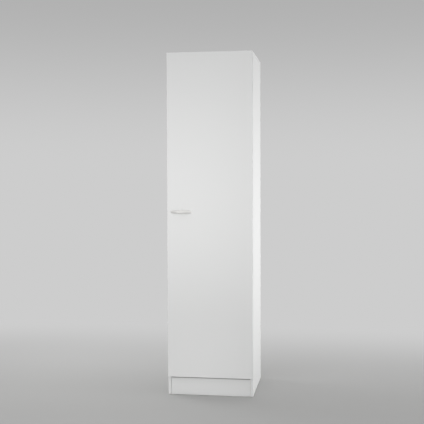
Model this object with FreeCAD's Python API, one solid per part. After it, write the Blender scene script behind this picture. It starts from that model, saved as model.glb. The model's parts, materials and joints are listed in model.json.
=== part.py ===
import FreeCAD, Part
import math
import os

V = FreeCAD.Vector

# Tall one-door refrigerator housing, millimetres.
# x to the right, y to the back, z up, floor at z = 0, front towards -y.

# Overall sizes
WIDTH = 600.0
HEIGHT = 2400.0
CARCASS_DEPTH = 578.0
BOARD = 19.0
EDGING = 1.0
EDGE_ROUND = 0.6
FIT = 0.05

# Levels and setbacks of the carcass boards
BASE_HEIGHT = 128.0
NICHE_HEIGHT = 1780.0
VENT_SHAFT = 50.0
RAIL_HEIGHT = 100.0
GLIDE_HEIGHT = 3.0

# Door
DOOR_THICKNESS = 19.0
DOOR_GAP = 3.0
DOOR_SIDE_REVEAL = 1.5
DOOR_TOP_REVEAL = 2.0
DOOR_SILL_REVEAL = 4.0

# Bow handle
HANDLE_LENGTH = 151.0
HANDLE_PROJECTION = 28.0
HANDLE_GRIP = 6.5
HANDLE_MIDDLE_HEIGHT = 24.0
HANDLE_END_HEIGHT = 14.0
HANDLE_STATIONS = 9
HANDLE_RUN_IN = 4.0
HANDLE_POST_RADIUS = 4.5
HANDLE_HOLE_SPACING = 128.0
HANDLE_FROM_EDGE = 100.0
HANDLE_LEVEL = 1292.0
HANDLE_SCREW_RADIUS = 2.0
HANDLE_SCREW_BITE = 5.0
HANDLE_HOLE_RADIUS = 2.5

# Plinth
PLINTH_RECESS = 5.0
PLINTH_THICKNESS = 16.0
PLINTH_TOP = 121.0
PLINTH_END_GAP = 1.0
PLINTH_SEAL = 4.0
BRACKET_LEG = 20.0
BRACKET_SHEET = 3.0
BRACKET_HEIGHT = 18.0
BRACKET_LEVELS = (0.28, 0.78)

# Cam fittings and dowels
CAM_RADIUS = 7.5
CAM_HEIGHT = 13.5
CAM_SETBACK = 34.0
CAM_FROM_EDGE = 60.0
CAM_SLOT_WIDTH = 1.4
CAM_SLOT_LENGTH = 8.0
CAM_SLOT_DEPTH = 2.0
CAM_ROOM = 0.4
CAP_RADIUS = 8.75
CAP_SHEET = 1.0
BOLT_THREAD_RADIUS = 2.5
BOLT_THREAD_LENGTH = 11.0
BOLT_RADIUS = 3.0
BOLT_NECK_RADIUS = 2.0
BOLT_NECK_LENGTH = 3.0
BOLT_HEAD_LENGTH = 4.0
BOLT_BORE_RADIUS = 4.0
DOWEL_RADIUS = 4.0
DOWEL_IN_SIDE = 11.0
DOWEL_IN_BOARD = 19.0
DOWEL_FROM_CAM = 32.0
BORE_RELIEF = 0.5

# Loose shelf and its pegs
SHELF_SIDE_GAP = 1.0
SHELF_BACK_GAP = 3.0
SHELF_FRONT_SETBACK = 8.0
PEG_RADIUS = 2.5
PEG_IN_SIDE = 10.0
PEG_REACH = 9.0
PEG_COLLAR_RADIUS = 4.0
PEG_COLLAR_AIR = 0.1
PEG_PITCH = 32.0
PEG_MARGIN = 60.0
PEG_LINE = 37.0
PEG_REAR_LINE = 60.0

# Thin back of the upper compartment
BACK_SHEET = 3.0
BACK_GROOVE = 7.0
BACK_SCREW_RADIUS = 1.5
BACK_SCREW_LENGTH = 16.0
BACK_SCREW_COUNT = 4
BACK_SCREW_FROM_END = 50.0

# Wall fixing holes in the upper rail
WALL_HOLE_RADIUS = 3.25
WALL_HOLE_SPACING = 400.0

# Floor glides and door bumpers
GLIDE_RADIUS = 8.5
GLIDE_NAIL_RADIUS = 1.0
GLIDE_NAIL_LENGTH = 15.0
GLIDES_PER_SIDE = 3
GLIDE_FROM_EDGE = 40.0
BUMPER_RADIUS = 4.5
BUMPER_AIR = 0.3
BUMPERS = 4
BUMPER_FROM_END = 45.0

# Hinges: one-pivot cup hinges on mounting plates
NICHE_HINGES = 4
HINGE_FROM_END = 100.0
HINGE_FROM_SHELF = 145.0
CUP_RADIUS = 17.5
CUP_DEPTH = 13.0
CUP_TAB = 3.0
CUP_WALL = 1.1
CUP_FLOOR = 0.8
CUP_CLEARANCE = 0.1
CUP_RIM = 1.0
CUP_FLANGE = 1.0
CUP_WING_LENGTH = 60.0
CUP_WING_WIDTH = 15.0
CUP_SCREW_SPACING = 48.0
CUP_SCREW_OFFSET = 6.0
CUP_SCREW_RADIUS = 1.75
CUP_SCREW_LENGTH = 12.0
EYE_RADIUS = 2.2
EYE_AIR = 0.5
PIN_RADIUS = 1.4
PIN_FIT = 0.05
LUG_SHEET = 2.0
LUG_AIR = 0.3
NECK = 2.6
NECK_WIDTH = 9.0
ARM_STANDOFF = 10.7
ARM_SHOULDER = 9.0
ARM_REACH = 64.0
ARM_WIDTH = 13.0
ARM_SHEET = 1.6
ARM_CHEEK_FOOT = 3.6
ARM_AIR = 0.3
PLATE_LINE = 37.0
PLATE_SHEET = 2.5
PLATE_LENGTH = 52.0
PLATE_WING = 20.0
PLATE_SCREW_SPACING = 32.0
PLATE_SCREW_RADIUS = 2.5
PLATE_SCREW_LENGTH = 13.0
PLATE_BLOCK_END = 3.0
ARM_SCREW_RADIUS = 2.5
ARM_SCREW_LENGTH = 9.0
ARM_LOCK_FROM_END = 12.0
ARM_SET_FROM_SHOULDER = 15.0

# Screw heads
HEAD_FACTOR = 1.8
HEAD_HEIGHT = 2.0
HEAD_SLOT_WIDTH = 0.9
HEAD_SLOT_DEPTH = 1.0
BRACKET_SCREW_RADIUS = 1.75
BRACKET_SCREW_LENGTH = 12.0

# Planes shared by all pieces
INNER_X = WIDTH / 2 - BOARD
TOTAL_DEPTH = HANDLE_PROJECTION + DOOR_THICKNESS + DOOR_GAP + CARCASS_DEPTH
DOOR_FRONT_Y = HANDLE_PROJECTION - TOTAL_DEPTH / 2
DOOR_BACK_Y = DOOR_FRONT_Y + DOOR_THICKNESS
FRONT_Y = DOOR_BACK_Y + DOOR_GAP
BACK_Y = FRONT_Y + CARCASS_DEPTH
BOARD_REAR_Y = BACK_Y - VENT_SHAFT
NICHE_FLOOR_Z = BASE_HEIGHT + BOARD
SHELF_Z = NICHE_FLOOR_Z + NICHE_HEIGHT
UPPER_FLOOR_Z = SHELF_Z + BOARD
TOP_Z = HEIGHT - BOARD
PLINTH_Y = FRONT_Y + PLINTH_RECESS
PLINTH_BACK_Y = PLINTH_Y + PLINTH_THICKNESS
DOOR_HALF = WIDTH / 2 - DOOR_SIDE_REVEAL
DOOR_LOW_Z = BASE_HEIGHT + DOOR_SILL_REVEAL
DOOR_HIGH_Z = HEIGHT - DOOR_TOP_REVEAL
HANDLE_X = HANDLE_FROM_EDGE - DOOR_HALF
TOP_HINGE_Z = DOOR_HIGH_Z - HINGE_FROM_END
# The loose shelf lies midway between the upper compartment's floor and the top hinge
SHELF_ROOM = TOP_HINGE_Z - PLATE_LENGTH / 2 - UPPER_FLOOR_Z
PEG_Z = UPPER_FLOOR_Z + SHELF_ROOM / 2
SPARE_PEG_ROWS = max(0, int((SHELF_ROOM / 2 - PEG_MARGIN) // PEG_PITCH))
LOOSE_SHELF_Z = PEG_Z + PEG_RADIUS

# Hinge axis, measured inwards and forwards from the right side's inner front edge
CUP_CENTRE = CUP_TAB + CUP_RADIUS - (BOARD - DOOR_SIDE_REVEAL)
CUP_HOLLOW = CUP_RADIUS - CUP_CLEARANCE - CUP_WALL
AXIS_IN = CUP_CENTRE - math.sqrt(CUP_HOLLOW ** 2 - (NECK_WIDTH / 2) ** 2) + EYE_RADIUS + EYE_AIR
AXIS_OUT = DOOR_GAP + CUP_DEPTH - CUP_CLEARANCE - CUP_FLOOR - EYE_RADIUS - EYE_AIR


def spread(first, last, count):
    """Evenly spaced values from first to last."""
    return [first + (last - first) * i / (count - 1) for i in range(count)]


HINGE_LEVELS = spread(DOOR_LOW_Z + HINGE_FROM_END, SHELF_Z - HINGE_FROM_SHELF, NICHE_HINGES) + [TOP_HINGE_Z]
BUMPER_LEVELS = spread(DOOR_LOW_Z + BUMPER_FROM_END, DOOR_HIGH_Z - BUMPER_FROM_END, BUMPERS)
RAIL_LEVELS = {
    "rear_rail_lower": BASE_HEIGHT,
    "rear_rail_middle": NICHE_FLOOR_Z + (NICHE_HEIGHT - RAIL_HEIGHT) / 2,
    "rear_rail_upper": SHELF_Z - RAIL_HEIGHT,
}
# Boards between the sides: underside level and the face the cams are bored from
BOARD_LEVELS = {
    "bottom_panel": (BASE_HEIGHT, V(0, 0, -1)),
    "fixed_shelf": (SHELF_Z, V(0, 0, -1)),
    "top_panel": (TOP_Z, V(0, 0, 1)),
}
# Boards whose cams are seen from the niche and get cover caps
CAPPED_BOARDS = ("fixed_shelf",) + tuple(RAIL_LEVELS)
CAM_LINES = (FRONT_Y + CAM_FROM_EDGE, BOARD_REAR_Y - CAM_FROM_EDGE)
DOWEL_LINES = (CAM_LINES[0] + DOWEL_FROM_CAM, CAM_LINES[1] - DOWEL_FROM_CAM)
PEG_LINES = (FRONT_Y + PEG_LINE, BOARD_REAR_Y - PEG_REAR_LINE)


def box(x0, x1, y0, y1, z0, z1):
    return Part.makeBox(x1 - x0, y1 - y0, z1 - z0, V(x0, y0, z0))


def rod(start, direction, radius, length):
    return Part.makeCylinder(radius, length, start, direction)


def fused(shapes):
    return shapes[0].fuse(shapes[1:]).removeSplitter()


def placed(shape, point, rotation):
    moved = shape.copy()
    moved.Placement = FreeCAD.Placement(point, rotation)
    return moved


def facing(direction):
    """Turn local +z to the given direction."""
    return FreeCAD.Rotation(V(0, 0, 1), direction)


def rounded(solid, radius, wanted):
    return solid.makeFillet(radius, [e for e in solid.Edges if wanted(e)])


def along(edge, axis):
    direction = edge.tangentAt(edge.FirstParameter)
    return abs(direction.dot(axis)) > 1 - FIT


def screw(radius, length):
    """Cross-slot pan-head screw: head below z = 0, shank above."""
    head_radius = HEAD_FACTOR * radius
    head = rod(V(0, 0, -HEAD_HEIGHT), V(0, 0, 1), head_radius, HEAD_HEIGHT)
    head = rounded(head, HEAD_HEIGHT / 2, lambda e: e.CenterOfMass.z < -HEAD_HEIGHT / 2 and e.Closed)
    half = HEAD_SLOT_WIDTH / 2
    reach = head_radius / 2
    low = -HEAD_HEIGHT
    slot = box(-half, half, -reach, reach, low, low + HEAD_SLOT_DEPTH)
    cross = box(-reach, reach, -half, half, low, low + HEAD_SLOT_DEPTH)
    return fused([head, rod(V(0, 0, 0), V(0, 0, 1), radius, length)]).cut([slot, cross])


def screw_bore(radius, length):
    return rod(V(0, 0, 0), V(0, 0, 1), radius + FIT, length + BORE_RELIEF)


def cam_joints():
    """Every cam: board, side sign, bolt point on the side's face, bored face."""
    joints = []
    for side in (-1, 1):
        for board, (level, face) in BOARD_LEVELS.items():
            for y in CAM_LINES:
                joints.append((board, side, V(side * INNER_X, y, level + BOARD / 2), face))
        for rail, level in RAIL_LEVELS.items():
            point = V(side * INNER_X, BACK_Y - BOARD / 2, level + RAIL_HEIGHT / 2 + DOWEL_FROM_CAM / 2)
            joints.append((rail, side, point, V(0, -1, 0)))
    return joints


def dowel_joints():
    """Every dowel: board, side sign, point on the side's face."""
    joints = []
    for side in (-1, 1):
        for board, (level, _) in BOARD_LEVELS.items():
            for y in DOWEL_LINES:
                joints.append((board, side, V(side * INNER_X, y, level + BOARD / 2)))
        for rail, level in RAIL_LEVELS.items():
            point = V(side * INNER_X, BACK_Y - BOARD / 2, level + RAIL_HEIGHT / 2 - DOWEL_FROM_CAM / 2)
            joints.append((rail, side, point))
    return joints


def cam_frame(side, point, face):
    """Cam placement: local +z into the board, local +x along the bolt to the side."""
    towards = V(side, 0, 0)
    inward = face * -1
    centre = point - towards * CAM_SETBACK + face * (BOARD / 2)
    return centre, FreeCAD.Rotation(towards, inward.cross(towards), inward, "ZXY")


def cam_housing():
    body = rod(V(0, 0, 0), V(0, 0, 1), CAM_RADIUS - FIT, CAM_HEIGHT)
    half = CAM_SLOT_WIDTH / 2
    reach = CAM_SLOT_LENGTH / 2
    room = BOLT_HEAD_LENGTH / 2 + CAM_ROOM
    throat = rod(V(-room, 0, BOARD / 2), V(1, 0, 0), BOLT_RADIUS + CAM_ROOM, room + CAM_RADIUS)
    slot = box(-half, half, -reach, reach, 0, CAM_SLOT_DEPTH)
    cross = box(-reach, reach, -half, half, 0, CAM_SLOT_DEPTH)
    return body.cut([throat, slot, cross])


def cam_cap():
    cap = rod(V(0, 0, -CAP_SHEET), V(0, 0, 1), CAP_RADIUS, CAP_SHEET)
    return rounded(cap, CAP_SHEET / 2, lambda e: e.Closed and e.CenterOfMass.z < -CAP_SHEET / 2)


def cam_bore():
    return rod(V(0, 0, 0), V(0, 0, 1), CAM_RADIUS, CAM_HEIGHT + BORE_RELIEF)


def cam_bolt(side, point):
    outward = V(side, 0, 0)
    inward = V(-side, 0, 0)
    neck_start = CAM_SETBACK - BOLT_HEAD_LENGTH / 2 - BOLT_NECK_LENGTH
    thread = rod(point, outward, BOLT_THREAD_RADIUS, BOLT_THREAD_LENGTH)
    shaft = rod(point, inward, BOLT_RADIUS, neck_start)
    neck = rod(point + inward * neck_start, inward, BOLT_NECK_RADIUS, BOLT_NECK_LENGTH)
    head = rod(point + inward * (neck_start + BOLT_NECK_LENGTH), inward, BOLT_RADIUS, BOLT_HEAD_LENGTH)
    return fused([thread, shaft, neck, head])


def dowel(side, point):
    start = point - V(side, 0, 0) * DOWEL_IN_BOARD
    peg = rod(start, V(side, 0, 0), DOWEL_RADIUS - FIT, DOWEL_IN_BOARD + DOWEL_IN_SIDE)
    return peg.makeChamfer(DOWEL_RADIUS / 4, [e for e in peg.Edges if e.Closed])


def side_bores(side):
    """Bores in a side's inner face for bolts, dowels, pegs, brackets and nails."""
    outward = V(side, 0, 0)
    bores = []
    for _, owner, point, _ in cam_joints():
        if owner == side:
            depth = BOLT_THREAD_LENGTH + BORE_RELIEF
            bores.append(rod(point, outward, BOLT_THREAD_RADIUS + FIT, depth))
    for _, owner, point in dowel_joints():
        if owner == side:
            bores.append(rod(point, outward, DOWEL_RADIUS, DOWEL_IN_SIDE + BORE_RELIEF))
    for row in range(-SPARE_PEG_ROWS, SPARE_PEG_ROWS + 1):
        level = PEG_Z + row * PEG_PITCH
        for y in PEG_LINES:
            bores.append(rod(V(side * INNER_X, y, level), outward, PEG_RADIUS, PEG_IN_SIDE + BORE_RELIEF))
    bracket_bore = screw_bore(BRACKET_SCREW_RADIUS, BRACKET_SCREW_LENGTH)
    for owner, point, direction in bracket_screw_points():
        if owner == side and direction.x:
            bores.append(placed(bracket_bore, point, facing(direction)))
    for point in glide_points(side):
        bores.append(rod(point, V(0, 0, 1), GLIDE_NAIL_RADIUS + FIT, GLIDE_NAIL_LENGTH + BORE_RELIEF))
    return bores


def side_panel(side):
    outer = side * WIDTH / 2
    inner = side * INNER_X
    x0, x1 = sorted((outer, inner))
    panel = box(x0, x1, FRONT_Y + EDGING, BACK_Y, GLIDE_HEIGHT, HEIGHT)
    g0, g1 = sorted((inner, inner + side * BACK_GROOVE))
    groove = box(g0, g1, BOARD_REAR_Y, BOARD_REAR_Y + BACK_SHEET, SHELF_Z, HEIGHT)
    bores = side_bores(side)
    if side > 0:
        for level in HINGE_LEVELS:
            for point, rotation in plate_screw_frames(level):
                bores.append(placed(screw_bore(PLATE_SCREW_RADIUS, PLATE_SCREW_LENGTH), point, rotation))
    return panel.cut([groove] + bores)


def front_edging(x0, x1, z0, z1, front=FRONT_Y):
    """Edging strip on a board's front edge, its two long front edges rounded."""
    strip = box(x0, x1, front, front + EDGING, z0, z1)
    axis = V(0, 0, 1) if z1 - z0 > x1 - x0 else V(1, 0, 0)
    return rounded(strip, EDGE_ROUND, lambda e: along(e, axis) and e.CenterOfMass.y < front + EDGING / 2)


def side_edging(side):
    x0, x1 = sorted((side * WIDTH / 2, side * INNER_X))
    return front_edging(x0, x1, GLIDE_HEIGHT, HEIGHT)


def board_bores(board):
    """Edge and face bores in a board or rail for its bolts, cams and dowels."""
    bores = []
    for owner, side, point, face in cam_joints():
        if owner == board:
            bores.append(rod(point, V(-side, 0, 0), BOLT_BORE_RADIUS, CAM_SETBACK))
            bores.append(placed(cam_bore(), *cam_frame(side, point, face)))
    for owner, side, point in dowel_joints():
        if owner == board:
            bores.append(rod(point, V(-side, 0, 0), DOWEL_RADIUS, DOWEL_IN_BOARD + BORE_RELIEF))
    return bores


def carcass_board(board):
    level = BOARD_LEVELS[board][0]
    slab = box(-INNER_X, INNER_X, FRONT_Y + EDGING, BOARD_REAR_Y, level, level + BOARD)
    bores = board_bores(board)
    back_bore = screw_bore(BACK_SCREW_RADIUS, BACK_SCREW_LENGTH)
    for owner, point in back_screw_points():
        if owner == board:
            bores.append(placed(back_bore, point, facing(V(0, -1, 0))))
    return slab.cut(bores)


def board_edging(board):
    level = BOARD_LEVELS[board][0]
    return front_edging(-INNER_X, INNER_X, level, level + BOARD)


def rear_rail(rail):
    level = RAIL_LEVELS[rail]
    slab = box(-INNER_X, INNER_X, BACK_Y - BOARD, BACK_Y, level, level + RAIL_HEIGHT)
    bores = board_bores(rail)
    if rail == "rear_rail_upper":
        for side in (-1, 1):
            start = V(side * WALL_HOLE_SPACING / 2, BACK_Y - BOARD, level + RAIL_HEIGHT / 2)
            bores.append(rod(start, V(0, 1, 0), WALL_HOLE_RADIUS, BOARD))
    return slab.cut(bores)


def back_screw_points():
    """Screws through the thin back into the shelf and the top."""
    half = INNER_X - BACK_SCREW_FROM_END
    return [
        (board, V(x, BOARD_REAR_Y + BACK_SHEET, BOARD_LEVELS[board][0] + BOARD / 2))
        for board in ("fixed_shelf", "top_panel")
        for x in spread(-half, half, BACK_SCREW_COUNT)
    ]


def upper_back_panel():
    half = INNER_X + BACK_GROOVE - BORE_RELIEF
    sheet = box(-half, half, BOARD_REAR_Y, BOARD_REAR_Y + BACK_SHEET, SHELF_Z, HEIGHT)
    holes = [
        placed(screw_bore(BACK_SCREW_RADIUS, BACK_SCREW_LENGTH), point, facing(V(0, -1, 0)))
        for _, point in back_screw_points()
    ]
    return sheet.cut(holes)


def loose_shelf_front():
    return FRONT_Y + SHELF_FRONT_SETBACK


def adjustable_shelf():
    half = INNER_X - SHELF_SIDE_GAP
    rear = BOARD_REAR_Y - SHELF_BACK_GAP
    return box(-half, half, loose_shelf_front() + EDGING, rear, LOOSE_SHELF_Z, LOOSE_SHELF_Z + BOARD)


def adjustable_shelf_edging():
    half = INNER_X - SHELF_SIDE_GAP
    return front_edging(-half, half, LOOSE_SHELF_Z, LOOSE_SHELF_Z + BOARD, loose_shelf_front())


def shelf_peg(side, y):
    outward = V(side, 0, 0)
    face = V(side * INNER_X, y, PEG_Z)
    plug = rod(face, outward, PEG_RADIUS - FIT, PEG_IN_SIDE)
    rest = rod(face, outward * -1, PEG_RADIUS, PEG_REACH)
    collar = rod(face, outward * -1, PEG_COLLAR_RADIUS, SHELF_SIDE_GAP - PEG_COLLAR_AIR)
    return fused([plug, rest, collar])


def plinth_half():
    return INNER_X - PLINTH_END_GAP


def bracket_frames():
    """Each plinth bracket: side sign and its lower level."""
    room = PLINTH_TOP - PLINTH_SEAL - BRACKET_HEIGHT
    return [(side, PLINTH_SEAL + part * room) for side in (-1, 1) for part in BRACKET_LEVELS]


def bracket_screw_points():
    """Two screws per bracket: one into the side, one into the plinth."""
    points = []
    middle = (BRACKET_LEG + BRACKET_SHEET) / 2
    for side, level in bracket_frames():
        z = level + BRACKET_HEIGHT / 2
        points.append((side, V(side * (INNER_X - BRACKET_SHEET), PLINTH_BACK_Y + middle, z), V(side, 0, 0)))
        points.append((side, V(side * (INNER_X - middle), PLINTH_BACK_Y + BRACKET_SHEET, z), V(0, -1, 0)))
    return points


def bracket_bores():
    bore = screw_bore(BRACKET_SCREW_RADIUS, BRACKET_SCREW_LENGTH)
    return [placed(bore, point, facing(direction)) for _, point, direction in bracket_screw_points()]


def plinth_bracket(side, level):
    wall = side * INNER_X
    x0, x1 = sorted((wall, wall - side * BRACKET_SHEET))
    leg = box(x0, x1, PLINTH_BACK_Y, PLINTH_BACK_Y + BRACKET_LEG, level, level + BRACKET_HEIGHT)
    x0, x1 = sorted((wall, wall - side * BRACKET_LEG))
    foot = box(x0, x1, PLINTH_BACK_Y, PLINTH_BACK_Y + BRACKET_SHEET, level, level + BRACKET_HEIGHT)
    return fused([leg, foot]).cut(bracket_bores())


def plinth_board():
    half = plinth_half()
    return box(-half, half, PLINTH_Y, PLINTH_BACK_Y, PLINTH_SEAL, PLINTH_TOP).cut(bracket_bores())


def plinth_seal():
    half = plinth_half()
    strip = box(-half, half, PLINTH_Y, PLINTH_BACK_Y, 0, PLINTH_SEAL)
    middle = PLINTH_SEAL / 2
    return rounded(strip, PLINTH_SEAL / 3, lambda e: along(e, V(1, 0, 0)) and e.CenterOfMass.z < middle)


def glide_points(side):
    x = side * (WIDTH - BOARD) / 2
    rows = spread(FRONT_Y + GLIDE_FROM_EDGE, BACK_Y - GLIDE_FROM_EDGE, GLIDES_PER_SIDE)
    return [V(x, y, GLIDE_HEIGHT) for y in rows]


def floor_glide(point):
    foot = rod(point, V(0, 0, -1), GLIDE_RADIUS, GLIDE_HEIGHT)
    foot = rounded(foot, GLIDE_HEIGHT / 4, lambda e: e.Closed and e.CenterOfMass.z < GLIDE_HEIGHT / 2)
    return fused([foot, rod(point, V(0, 0, 1), GLIDE_NAIL_RADIUS, GLIDE_NAIL_LENGTH)])


def door_panel():
    core = box(
        EDGING - DOOR_HALF, DOOR_HALF - EDGING, DOOR_FRONT_Y, DOOR_BACK_Y,
        DOOR_LOW_Z + EDGING, DOOR_HIGH_Z - EDGING,
    )
    forwards = V(0, 1, 0)
    bores = []
    for x in handle_hole_xs():
        bores.append(rod(V(x, DOOR_FRONT_Y, HANDLE_LEVEL), forwards, HANDLE_HOLE_RADIUS, DOOR_THICKNESS))
    cup_bore = rod(V(CUP_CENTRE, DOOR_GAP, 0), forwards, CUP_RADIUS, CUP_DEPTH)
    cup_screw_bore = screw_bore(CUP_SCREW_RADIUS, CUP_SCREW_LENGTH)
    for level in HINGE_LEVELS:
        bores.append(at_hinge(cup_bore, level))
        for point in cup_screw_points():
            bores.append(at_hinge(placed(cup_screw_bore, point, facing(forwards)), level))
    return core.cut(bores)


def door_edging_upright(side):
    x0, x1 = sorted((side * DOOR_HALF, side * (DOOR_HALF - EDGING)))
    strip = box(x0, x1, DOOR_FRONT_Y, DOOR_BACK_Y, DOOR_LOW_Z, DOOR_HIGH_Z)
    edge_x = DOOR_HALF - EDGING / 2
    return rounded(strip, EDGE_ROUND, lambda e: along(e, V(0, 0, 1)) and abs(e.CenterOfMass.x) > edge_x)


def door_edging_cross(z_outer, z_inner):
    z0, z1 = sorted((z_outer, z_inner))
    half = DOOR_HALF - EDGING
    strip = box(-half, half, DOOR_FRONT_Y, DOOR_BACK_Y, z0, z1)
    across = V(1, 0, 0)
    near = EDGING / 2
    return rounded(strip, EDGE_ROUND, lambda e: along(e, across) and abs(e.CenterOfMass.z - z_outer) < near)


def handle_hole_xs():
    return [HANDLE_X - HANDLE_HOLE_SPACING / 2, HANDLE_X + HANDLE_HOLE_SPACING / 2]


def handle_bow():
    """Bow of oval section, bent to an arc and tapered to both ends, on two short screw posts."""
    half = HANDLE_LENGTH / 2
    bend = (half ** 2 + HANDLE_PROJECTION ** 2) / (2 * HANDLE_PROJECTION)
    middle_bend = bend - HANDLE_GRIP / 2
    pivot = V(HANDLE_X, DOOR_FRONT_Y - HANDLE_PROJECTION + bend, HANDLE_LEVEL)
    last = math.acos((bend - HANDLE_PROJECTION - HANDLE_RUN_IN) / bend)
    belly = (HANDLE_MIDDLE_HEIGHT - HANDLE_END_HEIGHT) / 2
    ovals = []
    for turn in spread(-last, last, HANDLE_STATIONS):
        out = V(math.sin(turn), -math.cos(turn), 0)
        centre = pivot + out * middle_bend
        rise = HANDLE_END_HEIGHT / 2 + belly * math.cos(turn / last * math.pi / 2)
        oval = Part.Ellipse(centre + V(0, 0, rise), centre + out * (HANDLE_GRIP / 2), centre)
        ovals.append(Part.Wire([oval.toShape()]))
    bow = Part.makeLoft(ovals, True, False)
    lift = math.sqrt(middle_bend ** 2 - (HANDLE_HOLE_SPACING / 2) ** 2) - bend + HANDLE_PROJECTION
    posts = []
    holes = []
    for x in handle_hole_xs():
        foot = V(x, DOOR_FRONT_Y, HANDLE_LEVEL)
        posts.append(rod(foot, V(0, -1, 0), HANDLE_POST_RADIUS, lift))
        holes.append(rod(foot, V(0, -1, 0), HANDLE_SCREW_RADIUS + FIT, HANDLE_SCREW_BITE + BORE_RELIEF))
    clear = box(
        HANDLE_X - HANDLE_LENGTH, HANDLE_X + HANDLE_LENGTH, DOOR_FRONT_Y - HANDLE_LENGTH, DOOR_FRONT_Y,
        HANDLE_LEVEL - HANDLE_LENGTH, HANDLE_LEVEL + HANDLE_LENGTH,
    )
    return fused([bow.common(clear)] + posts).cut(holes)


def handle_screw(x):
    shape = screw(HANDLE_SCREW_RADIUS, DOOR_THICKNESS + HANDLE_SCREW_BITE)
    return placed(shape, V(x, DOOR_BACK_Y, HANDLE_LEVEL), facing(V(0, -1, 0)))


def door_bumper(level):
    thickness = DOOR_GAP - BUMPER_AIR
    dome = rod(V((BOARD - WIDTH) / 2, DOOR_BACK_Y, level), V(0, 1, 0), BUMPER_RADIUS, thickness)
    middle_y = DOOR_BACK_Y + thickness / 2
    return rounded(dome, thickness / 2, lambda e: e.Closed and e.CenterOfMass.y > middle_y)


def at_hinge(shape, level):
    """Carry a hinge piece from its local frame, x inwards and y forwards, to the right side."""
    moved = shape.copy()
    turn = FreeCAD.Placement(V(INNER_X, FRONT_Y, level), FreeCAD.Rotation(V(0, 0, 1), 180))
    moved.Placement = turn.multiply(moved.Placement)
    return moved


def cup_screw_points():
    x = CUP_CENTRE + CUP_SCREW_OFFSET
    y = DOOR_GAP - CUP_FLANGE
    return [V(x, y, -CUP_SCREW_SPACING / 2), V(x, y, CUP_SCREW_SPACING / 2)]


def hinge_cup():
    outward = V(0, 1, 0)
    centre = V(CUP_CENTRE, DOOR_GAP, 0)
    shell = rod(centre, outward, CUP_RADIUS - CUP_CLEARANCE, CUP_DEPTH - CUP_CLEARANCE)
    rim = rod(centre, outward * -1, CUP_RADIUS + CUP_RIM, CUP_FLANGE)
    wing_mid = CUP_CENTRE + CUP_SCREW_OFFSET
    wing = box(
        wing_mid - CUP_WING_WIDTH / 2, wing_mid + CUP_WING_WIDTH / 2, DOOR_GAP - CUP_FLANGE, DOOR_GAP,
        -CUP_WING_LENGTH / 2, CUP_WING_LENGTH / 2,
    )
    wing = rounded(wing, CUP_WING_WIDTH / 3, lambda e: along(e, V(0, 1, 0)))
    depth = CUP_DEPTH - CUP_CLEARANCE - CUP_FLOOR + CUP_FLANGE
    hollow = rod(centre - outward * CUP_FLANGE, outward, CUP_HOLLOW, depth)
    screw_hole = screw_bore(CUP_SCREW_RADIUS, CUP_FLANGE)
    holes = [placed(screw_hole, point, facing(outward)) for point in cup_screw_points()]
    body = fused([shell, rim, wing]).cut([hollow] + holes)
    inner = NECK_WIDTH / 2 + LUG_AIR
    floor = DOOR_GAP + CUP_DEPTH - CUP_CLEARANCE
    lugs = []
    for low in (inner, -inner - LUG_SHEET):
        ring = rod(V(AXIS_IN, AXIS_OUT, low), V(0, 0, 1), EYE_RADIUS, LUG_SHEET)
        post = box(AXIS_IN - EYE_RADIUS, AXIS_IN + EYE_RADIUS, AXIS_OUT, floor, low, low + LUG_SHEET)
        lugs.append(fused([ring, post]).common(shell))
    reach = inner + LUG_SHEET
    bore = rod(V(AXIS_IN, AXIS_OUT, -reach), V(0, 0, 1), PIN_RADIUS + FIT, 2 * reach)
    return fused([body] + lugs).cut(bore)


def hinge_pin():
    half = NECK_WIDTH / 2 + LUG_AIR + LUG_SHEET
    return rod(V(AXIS_IN, AXIS_OUT, -half), V(0, 0, 1), PIN_RADIUS, 2 * half)


def arm_screw_lines():
    """Depths behind the carcass front of an arm's lock screw and set screw."""
    return ARM_REACH - ARM_LOCK_FROM_END, ARM_SHOULDER + ARM_SET_FROM_SHOULDER


def hinge_arm():
    top = ARM_STANDOFF + NECK
    wide = NECK_WIDTH / 2
    out0 = AXIS_OUT - NECK / 2
    out1 = AXIS_OUT + NECK / 2
    eye = rod(V(AXIS_IN, AXIS_OUT, -wide), V(0, 0, 1), EYE_RADIUS, NECK_WIDTH)
    neck = box(AXIS_IN, top, out0, out1, -wide, wide)
    leg = box(ARM_STANDOFF, top, -ARM_SHOULDER, out1, -wide, wide)
    hook = fused([neck, leg])
    hook = rounded(hook, NECK, lambda e: along(e, V(0, 0, 1)) and e.CenterOfMass.x > ARM_STANDOFF + NECK / 2
                   and e.CenterOfMass.y > AXIS_OUT)
    half = ARM_WIDTH / 2
    web = box(ARM_STANDOFF, top, -ARM_REACH, -ARM_SHOULDER, -half, half)
    cheeks = [
        box(ARM_CHEEK_FOOT, top, -ARM_REACH, -ARM_SHOULDER, low, low + ARM_SHEET)
        for low in (-half, half - ARM_SHEET)
    ]
    holes = [rod(V(AXIS_IN, AXIS_OUT, -wide), V(0, 0, 1), PIN_RADIUS + PIN_FIT, NECK_WIDTH)]
    for depth in arm_screw_lines():
        holes.append(rod(V(ARM_STANDOFF, -depth, 0), V(1, 0, 0), ARM_SCREW_RADIUS + FIT, NECK))
    return fused([eye, hook, web] + cheeks).cut(holes)


def hinge_arm_screw(depth):
    shape = screw(ARM_SCREW_RADIUS, ARM_SCREW_LENGTH)
    return placed(shape, V(ARM_STANDOFF + NECK, -depth, 0), facing(V(-1, 0, 0)))


def plate_screw_frames(level):
    """Point and turn of the two screws that hold a mounting plate."""
    turn = facing(V(1, 0, 0))
    half = PLATE_SCREW_SPACING / 2
    return [(V(INNER_X - PLATE_SHEET, FRONT_Y + PLATE_LINE, level + z), turn) for z in (-half, half)]


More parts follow.
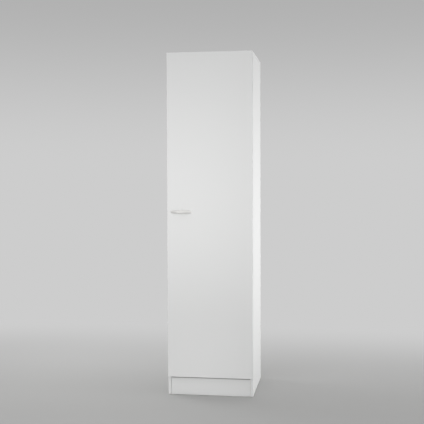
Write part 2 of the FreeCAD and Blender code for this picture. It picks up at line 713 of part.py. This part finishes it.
def hinge_plate():
    wing = box(
        0, PLATE_SHEET, -PLATE_LINE - PLATE_WING / 2, PLATE_WING / 2 - PLATE_LINE,
        -PLATE_LENGTH / 2, PLATE_LENGTH / 2,
    )
    wing = rounded(wing, PLATE_WING / 4, lambda e: along(e, V(1, 0, 0)))
    half = ARM_WIDTH / 2 - ARM_SHEET - ARM_AIR
    block = box(0, ARM_STANDOFF, PLATE_BLOCK_END - ARM_REACH, -ARM_SHOULDER - PLATE_BLOCK_END, -half, half)
    holes = []
    for z in (-PLATE_SCREW_SPACING / 2, PLATE_SCREW_SPACING / 2):
        holes.append(rod(V(0, -PLATE_LINE, z), V(1, 0, 0), PLATE_SCREW_RADIUS + FIT, PLATE_SHEET))
    bite = ARM_SCREW_LENGTH - NECK + BORE_RELIEF
    for depth in arm_screw_lines():
        holes.append(rod(V(ARM_STANDOFF, -depth, 0), V(-1, 0, 0), ARM_SCREW_RADIUS + FIT, bite))
    return fused([wing, block]).cut(holes)


def build():
    """All nodes by name: a single solid each, or a list of like solids."""
    nodes = {}
    for name, side in (("left", -1), ("right", 1)):
        nodes["side_panel_" + name] = side_panel(side)
        nodes["side_edging_" + name] = side_edging(side)
        nodes["door_edging_" + name] = door_edging_upright(side)
    for board in BOARD_LEVELS:
        nodes[board] = carcass_board(board)
        nodes[board + "_edging"] = board_edging(board)
    for rail in RAIL_LEVELS:
        nodes[rail] = rear_rail(rail)
    nodes["upper_back_panel"] = upper_back_panel()
    nodes["adjustable_shelf"] = adjustable_shelf()
    nodes["adjustable_shelf_edging"] = adjustable_shelf_edging()
    nodes["shelf_pegs"] = [shelf_peg(side, y) for side in (-1, 1) for y in PEG_LINES]
    nodes["plinth_board"] = plinth_board()
    nodes["plinth_seal"] = plinth_seal()
    nodes["plinth_brackets"] = [plinth_bracket(side, level) for side, level in bracket_frames()]
    nodes["plinth_bracket_screws"] = [
        placed(screw(BRACKET_SCREW_RADIUS, BRACKET_SCREW_LENGTH), point, facing(direction))
        for _, point, direction in bracket_screw_points()
    ]
    nodes["floor_glides"] = [floor_glide(point) for side in (-1, 1) for point in glide_points(side)]
    nodes["cam_bolts"] = [cam_bolt(side, point) for _, side, point, _ in cam_joints()]
    nodes["cam_housings"] = [
        placed(cam_housing(), *cam_frame(side, point, face)) for _, side, point, face in cam_joints()
    ]
    nodes["cam_caps"] = [
        placed(cam_cap(), *cam_frame(side, point, face))
        for board, side, point, face in cam_joints() if board in CAPPED_BOARDS
    ]
    nodes["dowels"] = [dowel(side, point) for _, side, point in dowel_joints()]
    nodes["back_panel_screws"] = [
        placed(screw(BACK_SCREW_RADIUS, BACK_SCREW_LENGTH), point, facing(V(0, -1, 0)))
        for _, point in back_screw_points()
    ]
    nodes["door_panel"] = door_panel()
    nodes["door_edging_top"] = door_edging_cross(DOOR_HIGH_Z, DOOR_HIGH_Z - EDGING)
    nodes["door_edging_bottom"] = door_edging_cross(DOOR_LOW_Z, DOOR_LOW_Z + EDGING)
    nodes["handle"] = handle_bow()
    nodes["handle_screws"] = [handle_screw(x) for x in handle_hole_xs()]
    nodes["door_bumpers"] = [door_bumper(level) for level in BUMPER_LEVELS]
    for number, level in enumerate(HINGE_LEVELS, 1):
        nodes["hinge_%d_cup" % number] = at_hinge(hinge_cup(), level)
        nodes["hinge_%d_pin" % number] = at_hinge(hinge_pin(), level)
        nodes["hinge_%d_arm" % number] = at_hinge(hinge_arm(), level)
        nodes["hinge_%d_plate" % number] = at_hinge(hinge_plate(), level)
    nodes["hinge_arm_screws"] = [
        at_hinge(hinge_arm_screw(depth), level) for level in HINGE_LEVELS for depth in arm_screw_lines()
    ]
    nodes["hinge_plate_screws"] = [
        placed(screw(PLATE_SCREW_RADIUS, PLATE_SCREW_LENGTH), point, turn)
        for level in HINGE_LEVELS for point, turn in plate_screw_frames(level)
    ]
    nodes["hinge_cup_screws"] = [
        at_hinge(placed(screw(CUP_SCREW_RADIUS, CUP_SCREW_LENGTH), point, facing(V(0, 1, 0))), level)
        for level in HINGE_LEVELS for point in cup_screw_points()
    ]
    return nodes


os.makedirs("parts", exist_ok=True)
for node, shape in build().items():
    if isinstance(shape, list):
        shape = Part.makeCompound(shape)
    shape.exportStep("parts/%s.step" % node)
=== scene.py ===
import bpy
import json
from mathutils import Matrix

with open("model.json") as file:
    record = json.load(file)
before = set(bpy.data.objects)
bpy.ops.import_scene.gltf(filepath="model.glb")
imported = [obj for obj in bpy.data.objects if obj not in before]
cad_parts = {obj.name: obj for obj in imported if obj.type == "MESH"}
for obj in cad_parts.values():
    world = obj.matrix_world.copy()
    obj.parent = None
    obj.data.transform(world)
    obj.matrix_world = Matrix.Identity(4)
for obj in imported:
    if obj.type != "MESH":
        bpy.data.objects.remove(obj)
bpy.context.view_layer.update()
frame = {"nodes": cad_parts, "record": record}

import json
import math
import bpy
from mathutils import Matrix, Vector

scene = bpy.context.scene
scene.view_settings.view_transform = "Standard"

# Photograph frame, in pixels, and the camera that matches it, in metres and degrees
IMAGE_SIDE = 424.0
SENSOR = 36.0
FOCAL_PIXELS = 829.27
CAMERA_PLACE = Vector((0.8741, -5.9693, 1.4956))
CAMERA_YAW = -8.571
CAMERA_PITCH = -2.03
CAMERA_ROLL = -0.181
CAMERA_REACH = 200.0
# Turn about X that brings a camera from looking down to looking level
LEVEL = 90.0

# Directions, the least cosine at which a face counts as square to one, and a stretch that changes nothing
AXES = {
    "x": (1.0, 0.0, 0.0),
    "y": (0.0, 1.0, 0.0),
    "z": (0.0, 0.0, 1.0),
}
FRONT = (0.0, -1.0, 0.0)
SQUARE = 0.8
EVEN = (1.0, 1.0, 1.0)

# Finishes: linear colours, roughness from low to high, and bumps by strength and depth in metres
# Patterns: features per metre, octaves of detail and, where they have a direction, the stretch of the axes

# White melamine, on board faces and edging
WHITE = (0.83, 0.832, 0.826)
WHITE_COOL = (0.815, 0.82, 0.818)
WHITE_DRIFT = (2.2, 3.0)
MELAMINE_GLOSS = 0.25
MELAMINE_ROUGH = (0.48, 0.58)
MELAMINE_PATCHES = (38.0, 4.0)
MELAMINE_RELIEF = 0.14
PEARL = (1100.0, 3.0)
PEARL_SHARE = 0.6
GRAIN = 420.0
GRAIN_SHARE = 0.4
EDGING_ROUGH = (0.42, 0.52)
EDGING_STREAKS = (60.0, 3.0, (1.0, 6.0, 0.15))
EDGING_BUMP = (0.04, 0.0004)

# Raw chipboard, on cut edges and in bores
CHIP_TONES = (
    (0.0, (0.2, 0.125, 0.06)),
    (0.35, (0.44, 0.31, 0.175)),
    (1.0, (0.62, 0.48, 0.3)),
)
CHIP_ROUGH = (0.75, 0.95)
FLAKES = 170.0
FLAKE_STRETCH = (1.0, 1.0, 2.2)
FLAKE_SHARE = -0.7
DUST = (600.0, 4.0)
DUST_SHARE = 0.5
BOARD_BUMP = (0.5, 0.0006)

# Hardboard of the upper back: brown fibre behind, white lacquer in front
FIBRE_DARK = (0.15, 0.085, 0.042)
FIBRE_LIGHT = (0.3, 0.185, 0.1)
FIBRE_CLOUDS = (240.0, 6.0)
FIBRE_ROUGH = 0.85
SCREEN_LINES = 150.0
SCREEN_SHADE = 0.45
LACQUER_ROUGH = 0.4
LACQUER_RELIEF = 0.03
HARDBOARD_BUMP = (0.5, 0.0004)

# Metals: colour, roughness, brushing, strength of the bump, metallic share
METALS = {
    "handle_metal": ((0.8, 0.795, 0.78), (0.6, 0.7), (900.0, 4.0, (0.04, 1.0, 1.0)), 0.05, 0.75),
    "hinge_nickel": ((0.72, 0.705, 0.68), (0.2, 0.3), (260.0, 4.0), 0.04, 1.0),
    "zinc_steel": ((0.66, 0.68, 0.7), (0.28, 0.42), (500.0, 4.0), 0.06, 1.0),
}
METAL_CLOUDS = (9.0, 3.0)
METAL_SHADE = 0.93
METAL_DEPTH = 0.0002

# Plastics: colour, roughness, transmission
PLASTICS = {
    "plastic_white": (WHITE, (0.36, 0.48), 0.0),
    "seal_soft": ((0.72, 0.72, 0.7), (0.34, 0.46), 0.35),
    "bumper_soft": ((0.8, 0.8, 0.79), (0.19, 0.31), 0.75),
}
PLASTIC_CLOUDS = (30.0, 3.0)
PLASTIC_SHADE = 0.95
PLASTIC_GRAIN = (1500.0, 2.0)
PLASTIC_BUMP = (0.06, 0.0002)

# Beech of the dowels
BEECH_DARK = (0.42, 0.25, 0.12)
BEECH_LIGHT = (0.62, 0.43, 0.25)
BEECH_FIBRES = (500.0, 5.0, (0.1, 1.0, 1.0))
BEECH_ROUGH = (0.6, 0.8)
BEECH_BUMP = (0.3, 0.0003)

# Axes square to each board's finished faces; the plinth is wrapped round its long edges
BOARD_FACES = {
    "side_panel_left": "x",
    "side_panel_right": "x",
    "top_panel": "z",
    "bottom_panel": "z",
    "fixed_shelf": "z",
    "adjustable_shelf": "z",
    "rear_rail_lower": "y",
    "rear_rail_middle": "y",
    "rear_rail_upper": "y",
    "plinth_board": "yz",
    "door_panel": "y",
}

# Backdrop: its tone by the height of the line of sight, with painted light falloff, pale low and darker
# above, and a painted bright overhead that glossy pieces show as a painted highlight; the ambient light it
# casts stays even
BACKDROP = 0.61
BACKDROP_PAINTED_TONES = (
    (0.02, BACKDROP),
    (0.24, 0.435),
    (0.3, 0.435),
    (0.8, 1.0),
)

# Floor, and the distances in metres between which it fades into a painted glow in the backdrop's tone, an
# emission in place of lit floor, round a long ellipse
FLOOR = (0.456, 0.456, 0.451)
FLOOR_CLOUDS = (0.7, 3.0)
FLOOR_SHADE = 0.985
FLOOR_ROUGH = 0.8
FLOOR_REACH = 40.0
FADE_MIDDLE = (0.0, -0.45, 0.0)
FADE_STRETCH = (0.3, 1.0, 1.0)
FADE_START = 0.1
FADE_END = 3.1

# Ambient level, and each lamp: place, target, width, height, power, spread in degrees
AMBIENT = 0.715
LAMPS = {
    "softbox_front": ((-1.3, -3.4, 1.5), (-0.15, -0.3, 1.35), 1.2, 1.2, 3.1, 52.0),
    "softbox_right": ((4.6, -0.4, 1.28), (0.3, 0.0, 1.13), 1.2, 1.6, 8.2, 48.0),
    "fill_left": ((-2.4, 0.9, 2.4), (-0.9, 0.2, 0.0), 1.2, 1.2, 4.8, 80.0),
    "fill_low": ((-0.9, -3.1, 0.3), (-0.05, -0.3, 0.05), 0.8, 0.3, 0.19, 22.0),
}


class Tree:
    """Small helper round the node tree of a material or the world."""

    def __init__(self, owner):
        owner.use_nodes = True
        self.owner = owner
        self.nodes = owner.node_tree.nodes
        self.links = owner.node_tree.links
        self.shader = self.nodes.get("Principled BSDF")
        self.coords = self.add("ShaderNodeTexCoord")

    def add(self, kind, settings=None, **inputs):
        made = self.nodes.new(kind)
        for key, value in (settings or {}).items():
            setattr(made, key, value)
        for key, value in inputs.items():
            self.put(made, key.replace("_", " "), value)
        return made

    def put(self, made, key, value):
        """Link or set one input, given by its name or its number."""
        socket = made.inputs[key]
        if isinstance(value, bpy.types.NodeSocket):
            self.links.new(value, socket)
        elif socket.type == "RGBA":
            socket.default_value = (*value, 1.0)
        else:
            socket.default_value = value

    def math(self, operation, *values):
        made = self.add("ShaderNodeMath", {"operation": operation})
        for number, value in enumerate(values):
            self.put(made, number, value)
        return made.outputs[0]

    def total(self, first, second):
        """Sum of two pairs, each a value times its weight."""
        return self.math("ADD", self.math("MULTIPLY", *first), self.math("MULTIPLY", *second))

    def scaled(self, scale):
        """Object coordinates stretched along the axes."""
        return self.add("ShaderNodeMapping", Vector=self.coords.outputs["Object"], Scale=scale).outputs[0]

    def noise(self, scale, detail, stretch=EVEN):
        made = self.add("ShaderNodeTexNoise", Vector=self.scaled(stretch), Scale=scale, Detail=detail)
        return made.outputs["Fac"]

    def cells(self, scale, stretch=EVEN, output="Distance"):
        made = self.add("ShaderNodeTexVoronoi", Vector=self.scaled(stretch), Scale=scale)
        return made.outputs[output]

    def mix(self, factor, first, second):
        """Mix two colours; the numbers are those of the node's colour inputs and output."""
        made = self.add("ShaderNodeMix", {"data_type": "RGBA"})
        self.put(made, 0, factor)
        self.put(made, 6, first)
        self.put(made, 7, second)
        return made.outputs[2]

    def mix_shaders(self, factor, first, second):
        made = self.add("ShaderNodeMixShader")
        for number, value in enumerate((factor, first, second)):
            self.put(made, number, value)
        return made.outputs[0]

    def ramp(self, factor, stops, interpolation):
        made = self.add("ShaderNodeValToRGB", Fac=factor)
        band = made.color_ramp
        band.interpolation = interpolation
        while len(band.elements) < len(stops):
            band.elements.new(1.0)
        for element, (place, colour) in zip(band.elements, stops):
            element.position = place
            element.color = (*colour, 1.0)
        return made.outputs[0]

    def span(self, factor, low, high):
        """Map 0..1 to low..high."""
        return self.add("ShaderNodeMapRange", Value=factor, To_Min=low, To_Max=high).outputs[0]

    def bump(self, height, strength, distance):
        made = self.add("ShaderNodeBump", Height=height, Strength=strength, Distance=distance)
        self.put(self.shader, "Normal", made.outputs[0])

    def along(self, axis):
        """Cosine between the surface's normal and the axis."""
        made = self.add("ShaderNodeVectorMath", {"operation": "DOT_PRODUCT"})
        self.put(made, 0, self.coords.outputs["Normal"])
        self.put(made, 1, axis)
        return made.outputs["Value"]

    def faces(self, axis):
        """1 on faces square to the axis, 0 on the rest."""
        return self.math("GREATER_THAN", self.math("ABSOLUTE", self.along(axis)), SQUARE)

    def towards(self, axis):
        """1 on faces that look along the axis, 0 on the rest."""
        return self.math("GREATER_THAN", self.along(axis), SQUARE)


def new_tree(name):
    return Tree(bpy.data.materials.new(name))


def shaded(colour, share):
    return tuple(share * channel for channel in colour)


def melamine_colour(tree):
    return tree.mix(tree.noise(*WHITE_DRIFT), WHITE, WHITE_COOL)


def melamine_height(tree):
    return tree.total((tree.noise(*PEARL), PEARL_SHARE), (tree.cells(GRAIN), GRAIN_SHARE))


def chipboard_layers(tree):
    """Colour, roughness and height of a raw chipboard edge."""
    flakes = tree.cells(FLAKES, FLAKE_STRETCH, "Color")
    tone = tree.add("ShaderNodeSeparateColor", Color=flakes).outputs[0]
    colour = tree.ramp(tone, CHIP_TONES, "LINEAR")
    dust = tree.noise(*DUST)
    height = tree.total((tree.cells(FLAKES, FLAKE_STRETCH), FLAKE_SHARE), (dust, DUST_SHARE))
    return colour, tree.span(dust, *CHIP_ROUGH), height


def board_material(axes):
    """Melamine on the faces square to the given axes, raw chipboard on cut edges and in bores."""
    tree = new_tree("board_white_" + axes)
    face = tree.faces(AXES[axes[0]])
    for axis in axes[1:]:
        face = tree.math("MAXIMUM", face, tree.faces(AXES[axis]))
    cut = tree.math("SUBTRACT", 1.0, face)
    chip, chip_rough, chip_height = chipboard_layers(tree)
    tree.put(tree.shader, "Base Color", tree.mix(face, chip, melamine_colour(tree)))
    white_rough = tree.span(tree.noise(*MELAMINE_PATCHES), *MELAMINE_ROUGH)
    tree.put(tree.shader, "Roughness", tree.total((white_rough, face), (chip_rough, cut)))
    tree.put(tree.shader, "Specular IOR Level", MELAMINE_GLOSS)
    relief = tree.math("MULTIPLY", face, MELAMINE_RELIEF)
    tree.bump(tree.total((melamine_height(tree), relief), (chip_height, cut)), *BOARD_BUMP)
    return tree.owner


def edging_material(name):
    tree = new_tree(name)
    tree.put(tree.shader, "Base Color", melamine_colour(tree))
    tree.put(tree.shader, "Roughness", tree.span(tree.noise(*EDGING_STREAKS), *EDGING_ROUGH))
    tree.put(tree.shader, "Specular IOR Level", MELAMINE_GLOSS)
    tree.bump(melamine_height(tree), *EDGING_BUMP)
    return tree.owner


def hardboard_material(name):
    """White lacquer towards the room, brown screen-backed fibre on the rear."""
    tree = new_tree(name)
    front = tree.towards(FRONT)
    rear = tree.math("SUBTRACT", 1.0, front)
    fibre = tree.mix(tree.noise(*FIBRE_CLOUDS), FIBRE_DARK, FIBRE_LIGHT)
    lines = []
    for direction in ("X", "Z"):
        wave = tree.add("ShaderNodeTexWave", {"bands_direction": direction},
                        Vector=tree.coords.outputs["Object"], Scale=SCREEN_LINES)
        lines.append(wave.outputs["Fac"])
    screen = tree.math("MULTIPLY", *lines)
    fibre = tree.mix(tree.math("MULTIPLY", screen, SCREEN_SHADE), fibre, FIBRE_DARK)
    tree.put(tree.shader, "Base Color", tree.mix(front, fibre, melamine_colour(tree)))
    tree.put(tree.shader, "Roughness", tree.span(front, FIBRE_ROUGH, LACQUER_ROUGH))
    height = tree.total((screen, rear), (melamine_height(tree), LACQUER_RELIEF))
    tree.bump(height, *HARDBOARD_BUMP)
    return tree.owner


def metal_material(name, colour, rough, brushing, strength, metallic):
    tree = new_tree(name)
    clouds = tree.noise(*METAL_CLOUDS)
    tree.put(tree.shader, "Base Color", tree.mix(clouds, shaded(colour, METAL_SHADE), colour))
    tree.put(tree.shader, "Metallic", metallic)
    lines = tree.noise(*brushing)
    tree.put(tree.shader, "Roughness", tree.span(lines, *rough))
    tree.bump(lines, strength, METAL_DEPTH)
    return tree.owner


def plastic_material(name, colour, rough, transmission):
    tree = new_tree(name)
    clouds = tree.noise(*PLASTIC_CLOUDS)
    tree.put(tree.shader, "Base Color", tree.mix(clouds, shaded(colour, PLASTIC_SHADE), colour))
    grain = tree.noise(*PLASTIC_GRAIN)
    tree.put(tree.shader, "Roughness", tree.span(grain, *rough))
    tree.put(tree.shader, "Transmission Weight", transmission)
    tree.bump(grain, *PLASTIC_BUMP)
    return tree.owner


def beech_material(name):
    tree = new_tree(name)
    fibres = tree.noise(*BEECH_FIBRES)
    tree.put(tree.shader, "Base Color", tree.mix(fibres, BEECH_DARK, BEECH_LIGHT))
    tree.put(tree.shader, "Roughness", tree.span(fibres, *BEECH_ROUGH))
    tree.bump(fibres, *BEECH_BUMP)
    return tree.owner


def floor_with_painted_glow(name):
    """Lit grey near the object, fading far away into a painted glow: an emission in the backdrop's tone
    instead of lit floor.
    """
    tree = new_tree(name)
    clouds = tree.noise(*FLOOR_CLOUDS)
    tree.put(tree.shader, "Base Color", tree.mix(clouds, FLOOR, shaded(FLOOR, FLOOR_SHADE)))
    tree.put(tree.shader, "Roughness", FLOOR_ROUGH)
    away = tree.add("ShaderNodeVectorMath", {"operation": "DISTANCE"})
    tree.put(away, 0, tree.scaled(FADE_STRETCH))
    tree.put(away, 1, FADE_MIDDLE)
    fade = tree.add("ShaderNodeMapRange", {"interpolation_type": "SMOOTHSTEP"},
                    Value=away.outputs["Value"], From_Min=FADE_START, From_Max=FADE_END)
    # Painted glow: the far floor emits the backdrop's tone rather than being lit, and hides shadows there
    painted_glow = tree.add("ShaderNodeEmission", Color=(BACKDROP, BACKDROP, BACKDROP))
    mixed = tree.mix_shaders(fade.outputs[0], tree.shader.outputs[0], painted_glow.outputs[0])
    tree.put(tree.nodes["Material Output"], "Surface", mixed)
    return tree.owner


def dress_nodes():
    """Give each CAD node the finish of its material slot, and each board the one for its faces."""
    boards = {axes: board_material(axes) for axes in sorted(set(BOARD_FACES.values()))}
    finishes = {
        "edging_white": edging_material("edging_white"),
        "hardboard_white": hardboard_material("hardboard_white"),
        "dowel_beech": beech_material("dowel_beech"),
    }
    for slot, values in METALS.items():
        finishes[slot] = metal_material(slot, *values)
    for slot, values in PLASTICS.items():
        finishes[slot] = plastic_material(slot, *values)
    slots = {part["node"]: part["material_slot"] for part in frame["record"]["subparts"]}
    for name, obj in frame["nodes"].items():
        finish = boards[BOARD_FACES[name]] if name in BOARD_FACES else finishes[slots[name]]
        obj.data.materials.clear()
        obj.data.materials.append(finish)


def make_floor():
    far = FLOOR_REACH
    corners = [(-far, -far, 0.0), (far, -far, 0.0), (far, far, 0.0), (-far, far, 0.0)]
    mesh = bpy.data.meshes.new("stage_floor_painted_glow")
    mesh.from_pydata(corners, [], [(0, 1, 2, 3)])
    floor = bpy.data.objects.new("stage_floor_painted_glow", mesh)
    scene.collection.objects.link(floor)
    mesh.materials.append(floor_with_painted_glow("stage_floor_painted_glow"))


def make_world():
    """Soft ambient light, and the backdrop for what sees it directly or in gloss and clear pieces; its
    graded tones are painted light falloff and a painted bright overhead, seen in gloss as a painted
    reflection.
    """
    world = bpy.data.worlds.new("studio")
    tree = Tree(world)
    ambient = tree.nodes["Background"]
    tree.put(ambient, "Color", (1.0, 1.0, 1.0))
    tree.put(ambient, "Strength", AMBIENT)
    sight = tree.add("ShaderNodeSeparateXYZ", Vector=tree.coords.outputs["Generated"])
    # Painted light falloff and a painted bright overhead: camera and gloss see these tones, the lighting
    # does not
    stops = [(height, (tone, tone, tone)) for height, tone in BACKDROP_PAINTED_TONES]
    backdrop = tree.add("ShaderNodeBackground", Color=tree.ramp(sight.outputs["Z"], stops, "EASE"))
    path = tree.add("ShaderNodeLightPath")
    seen = path.outputs["Is Camera Ray"]
    for kind in ("Is Glossy Ray", "Is Transmission Ray"):
        seen = tree.math("MAXIMUM", seen, path.outputs[kind])
    mixed = tree.mix_shaders(seen, ambient.outputs[0], backdrop.outputs[0])
    tree.put(tree.nodes["World Output"], "Surface", mixed)
    scene.world = world


def make_lamp(name, place, target, width, height, power, spread):
    data = bpy.data.lights.new(name, "AREA")
    data.shape = "RECTANGLE"
    data.size = width
    data.size_y = height
    data.energy = power
    data.spread = math.radians(spread)
    lamp = bpy.data.objects.new(name, data)
    scene.collection.objects.link(lamp)
    lamp.location = place
    aim = Vector(target) - Vector(place)
    lamp.rotation_euler = aim.to_track_quat("-Z", "Y").to_euler()


def turned(degrees, axis):
    return Matrix.Rotation(math.radians(degrees), 4, axis)


def make_camera():
    data = bpy.data.cameras.new("photo_camera")
    data.sensor_width = SENSOR
    data.lens = FOCAL_PIXELS * SENSOR / IMAGE_SIDE
    data.clip_end = CAMERA_REACH
    camera = bpy.data.objects.new("photo_camera", data)
    scene.collection.objects.link(camera)
    turn = turned(-CAMERA_YAW, "Z") @ turned(LEVEL + CAMERA_PITCH, "X") @ turned(CAMERA_ROLL, "Z")
    camera.matrix_world = Matrix.Translation(CAMERA_PLACE) @ turn
    scene.camera = camera


dress_nodes()
make_floor()
make_world()
for lamp_name, lamp in LAMPS.items():
    make_lamp(lamp_name, *lamp)
make_camera()
